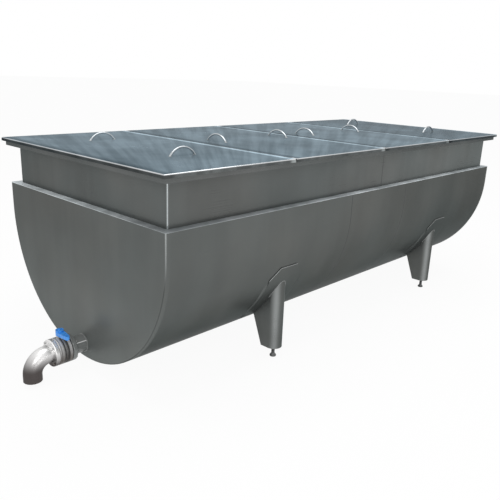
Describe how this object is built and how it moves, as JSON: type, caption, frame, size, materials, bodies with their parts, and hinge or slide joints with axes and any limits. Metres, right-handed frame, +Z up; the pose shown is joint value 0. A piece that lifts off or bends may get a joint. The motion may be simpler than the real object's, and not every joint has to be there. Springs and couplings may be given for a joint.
{
  "type": "cheese vat",
  "caption": "Half-round jacketed steel trough on legs with screw feet, lift-off lids with bow handles and a butterfly outlet valve with a drain elbow.",
  "frame": {"origin": "on the floor, under the middle of the whole length and width", "axes": "+X along the vat away from the outlet, +Y to the back, +Z up"},
  "size_m": [3.2816, 1.33, 1.0868],
  "materials": {
    "vat_steel": "satin",
    "lid_steel": "satin",
    "bright_steel": "polished",
    "foot_steel": "satin",
    "insulation": "matte",
    "seat_rubber": "matte",
    "lever_blue": "gloss"
  },
  "bodies": {
    "vat": {"trough_liner": "vat_steel", "liner_end_outlet": "vat_steel", "liner_end_far": "vat_steel", "heating_jacket": "vat_steel", "water_inlet": "bright_steel", "water_return": "bright_steel", "water_inlet_tube": "bright_steel", "water_return_tube": "bright_steel", "insulation_wrap": "insulation", "insulation_outlet_end": "insulation", "insulation_far_end": "insulation", "jacket_shell": "vat_steel", "jacket_end_outlet": "vat_steel", "jacket_end_far": "vat_steel", "ledge_front": "vat_steel", "ledge_back": "vat_steel", "ledge_outlet_end": "vat_steel", "ledge_far_end": "vat_steel", "rim_front": "vat_steel", "rim_back": "vat_steel", "rim_outlet_end": "vat_steel", "rim_far_end": "vat_steel", "leg_front_outlet": "vat_steel", "leg_front_far": "vat_steel", "leg_back_outlet": "vat_steel", "leg_back_far": "vat_steel", "leg_pad_front_outlet": "vat_steel", "leg_pad_front_far": "vat_steel", "leg_pad_back_outlet": "vat_steel", "leg_pad_back_far": "vat_steel", "leg_base_front_outlet": "vat_steel", "leg_base_front_far": "vat_steel", "leg_base_back_outlet": "vat_steel", "leg_base_back_far": "vat_steel", "outlet_pipe": "bright_steel", "valve_body_vat_side": "bright_steel", "valve_body_elbow_side": "bright_steel", "valve_seat": "seat_rubber", "flange_bolts": "bright_steel", "flange_nuts": "bright_steel", "outlet_elbow": "bright_steel"},
    "lid_1_body": {"lid_1": "lid_steel", "lid_1_handle_front": "bright_steel", "lid_1_handle_back": "bright_steel"},
    "lid_2_body": {"lid_2": "lid_steel", "lid_2_handle_outlet": "bright_steel", "lid_2_handle_far": "bright_steel"},
    "lid_3_body": {"lid_3": "lid_steel", "lid_3_handle_outlet": "bright_steel", "lid_3_handle_far": "bright_steel"},
    "lid_4_body": {"lid_4": "lid_steel", "lid_4_handle_front": "bright_steel", "lid_4_handle_back": "bright_steel"},
    "valve_rotor": {"valve_disc": "bright_steel", "valve_lever": "lever_blue", "lever_screw": "bright_steel"},
    "foot_front_outlet_body": {"foot_front_outlet": "foot_steel"},
    "foot_front_far_body": {"foot_front_far": "foot_steel"},
    "foot_back_outlet_body": {"foot_back_outlet": "foot_steel"},
    "foot_back_far_body": {"foot_back_far": "foot_steel"}
  },
  "joints": [
    {"name": "lid_1_lift", "type": "slide", "parent": "vat", "child": "lid_1_body", "axis": [0, 0, 1], "range_m": [0, 0.4]},
    {"name": "lid_2_lift", "type": "slide", "parent": "vat", "child": "lid_2_body", "axis": [0, 0, 1], "range_m": [0, 0.4]},
    {"name": "lid_3_lift", "type": "slide", "parent": "vat", "child": "lid_3_body", "axis": [0, 0, 1], "range_m": [0, 0.4]},
    {"name": "lid_4_lift", "type": "slide", "parent": "vat", "child": "lid_4_body", "axis": [0, 0, 1], "range_m": [0, 0.4]},
    {"name": "valve_turn", "type": "hinge", "parent": "vat", "child": "valve_rotor", "pos_m": [-1.45425, 0, 0.1305], "axis": [0, 0, -1], "range_deg": [0, 90]},
    {"name": "foot_front_outlet_screw", "type": "slide", "parent": "vat", "child": "foot_front_outlet_body", "axis": [0, 0, -1], "range_m": [-0.02, 0.03]},
    {"name": "foot_front_far_screw", "type": "slide", "parent": "vat", "child": "foot_front_far_body", "axis": [0, 0, -1], "range_m": [-0.02, 0.03]},
    {"name": "foot_back_outlet_screw", "type": "slide", "parent": "vat", "child": "foot_back_outlet_body", "axis": [0, 0, -1], "range_m": [-0.02, 0.03]},
    {"name": "foot_back_far_screw", "type": "slide", "parent": "vat", "child": "foot_back_far_body", "axis": [0, 0, -1], "range_m": [-0.02, 0.03]}
  ]
}
